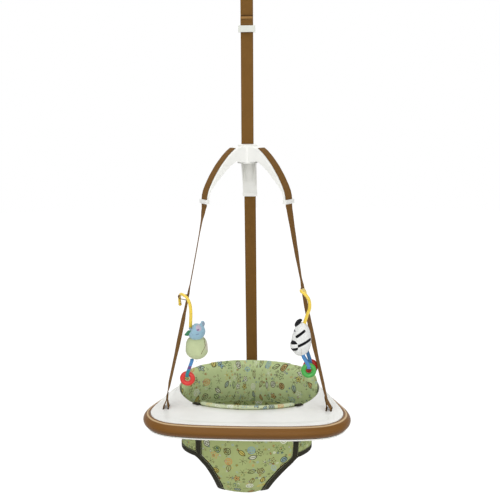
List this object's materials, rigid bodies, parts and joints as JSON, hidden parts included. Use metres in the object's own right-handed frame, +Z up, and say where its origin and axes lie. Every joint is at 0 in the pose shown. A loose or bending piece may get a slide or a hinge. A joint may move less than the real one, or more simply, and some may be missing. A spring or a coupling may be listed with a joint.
{
  "type": "baby doorway jumper",
  "caption": "Doorway jumper: spring clamp, sprung webbing hanger, three-armed crown, padded cloth seat with leg holes in a tray with a brown bumper, and hanging toys.",
  "frame": {"origin": "Midway between the clamp's two grip pads, level with the ledge of the door casing that their lower faces stand on.", "axes": "+Z is up along the hanging axis, -Y is the side the child faces (the tray's wide front), +X is the child's left, which is the viewer's right in the picture."},
  "size_m": [0.5496, 0.462, 1.7845],
  "materials": {
    "steel": "zinc-plated steel wire and pins, satin",
    "clamp": "pale grey powder coat",
    "rubber": "black moulded rubber, matt",
    "webbing": "brown polyester webbing, fine twill weave",
    "white": "white moulded plastic, satin",
    "bumper": "brown soft vinyl, semi-gloss",
    "cloth": "sage green printed cotton with leaf and dot motifs",
    "pale_cloth": "pale sage piping",
    "binding": "dark brown bias binding with stitches",
    "yellow": "yellow moulded plastic, glossy",
    "blue": "blue flexible plastic loop",
    "green": "green teether plastic, glossy",
    "red": "red teether plastic, glossy",
    "toy_blue": "pale blue short plush",
    "toy_green": "pale green short plush",
    "toy_white": "white short plush with black bands",
    "toy_black": "black short plush"
  },
  "bodies": {
    "clamp_housing": {"clamp_yoke": "clamp", "jaw_pivot_pin": "steel", "hanger_pin": "steel", "jaw_torsion_spring": "steel", "pivot_spacer": "white"},
    "front_jaw": {"front_jaw_arm": "clamp", "front_jaw_pad": "rubber"},
    "rear_jaw": {"rear_jaw_arm": "clamp", "rear_jaw_pad": "rubber"},
    "swivel": {"swing_hanger": "clamp"},
    "spring_top": {"spring_cap_top": "white", "spring_cap_pin": "steel", "bounce_spring": "steel", "spring_sleeve": "webbing", "safety_tether": "webbing"},
    "spring_bottom": {"spring_cap_bottom": "white", "strap_ring": "steel", "main_strap": "webbing", "main_strap_return": "webbing"},
    "buckle": {"height_buckle": "white"},
    "seat_unit": {"crown_shell": "white", "crown_bar_left": "steel", "crown_bar_right": "steel", "crown_bar_rear": "steel", "crown_bar_main": "steel", "side_strap_left": "webbing", "side_strap_right": "webbing", "rear_strap": "webbing", "left_strap_tab": "webbing", "right_strap_tab": "webbing", "tray_top_shell": "white", "tray_bottom_plate": "white", "bumper": "bumper", "tray_screw_1": "steel", "tray_screw_2": "steel", "tray_screw_3": "steel", "tray_screw_4": "steel", "seat_front_panel": "cloth", "seat_rear_panel": "cloth", "seat_waist_band": "cloth", "seat_back_pad": "cloth", "seat_front_roll": "pale_cloth", "seat_tape_left": "binding", "seat_tape_right": "binding", "leg_binding_left": "binding", "leg_binding_right": "binding"},
    "left_toy": {"left_hook": "yellow", "left_toy_body": "toy_green", "left_toy_head": "toy_blue", "left_red_loop": "blue"},
    "left_ring": {"left_red_ring": "red"},
    "right_toy": {"right_hook": "yellow", "right_toy_body": "toy_white", "right_toy_mane": "toy_black", "right_toy_muzzle": "toy_black", "right_green_loop": "blue", "right_red_loop": "blue"},
    "right_front_ring": {"right_green_ring": "green"},
    "right_rear_ring": {"right_red_ring": "red"}
  },
  "joints": [
    {"name": "front_jaw_open", "type": "hinge", "parent": "clamp_housing", "child": "front_jaw", "pos_m": [0, 0, -0.128], "axis": [1, 0, 0], "range_deg": [-12, 17], "stiffness_Nm_per_rad": 1.5, "springref_deg": -17.19},
    {"name": "rear_jaw_open", "type": "hinge", "parent": "clamp_housing", "child": "rear_jaw", "pos_m": [0, 0, -0.128], "axis": [1, 0, 0], "range_deg": [-17, 12]},
    {"name": "swing_fore_aft", "type": "hinge", "parent": "clamp_housing", "child": "swivel", "pos_m": [0, 0, -0.186], "axis": [1, 0, 0], "range_deg": [-25, 25]},
    {"name": "swing_side", "type": "hinge", "parent": "swivel", "child": "spring_top", "pos_m": [0, 0, -0.206], "axis": [0, 1, 0], "range_deg": [-25, 25]},
    {"name": "bounce", "type": "slide", "parent": "spring_top", "child": "spring_bottom", "axis": [0, 0, -1], "range_m": [0, 0.15], "stiffness_N_per_m": 600, "springref_m": -0.06, "deforming": ["bounce_spring", "spring_sleeve", "safety_tether"]},
    {"name": "height_adjust", "type": "slide", "parent": "spring_bottom", "child": "seat_unit", "axis": [0, 0, 1], "range_m": [-0.03, 0.12], "deforming": ["main_strap"]},
    {"name": "buckle_slide", "type": "slide", "parent": "spring_bottom", "child": "buckle", "axis": [0, 0, 1], "range_m": [-0.12, 0.03], "deforming": ["main_strap_return"]},
    {"name": "left_toy_swing", "type": "hinge", "parent": "seat_unit", "child": "left_toy", "pos_m": [-0.1745, -0.083, -1.162], "axis": [0.445, -0.8955, 0], "range_deg": [0, 15]},
    {"name": "right_toy_swing", "type": "hinge", "parent": "seat_unit", "child": "right_toy", "pos_m": [0.1475, -0.072, -1.144], "axis": [0.45, 0.893, 0], "range_deg": [0, 15]},
    {"name": "left_ring_swing", "type": "hinge", "parent": "left_toy", "child": "left_ring", "pos_m": [-0.159, -0.09, -1.3702], "axis": [1, 0, 0], "range_deg": [-35, 35]},
    {"name": "right_front_ring_swing", "type": "hinge", "parent": "right_toy", "child": "right_front_ring", "pos_m": [0.164, -0.096, -1.3422], "axis": [1, 0, 0], "range_deg": [-35, 4]},
    {"name": "right_rear_ring_swing", "type": "hinge", "parent": "right_toy", "child": "right_rear_ring", "pos_m": [0.169, -0.074, -1.3382], "axis": [1, 0, 0], "range_deg": [-4, 35]}
  ],
  "couplings": [
    {"joint": "rear_jaw_open", "follows": "front_jaw_open", "ratio": -1},
    {"joint": "buckle_slide", "follows": "height_adjust", "ratio": -1}
  ]
}
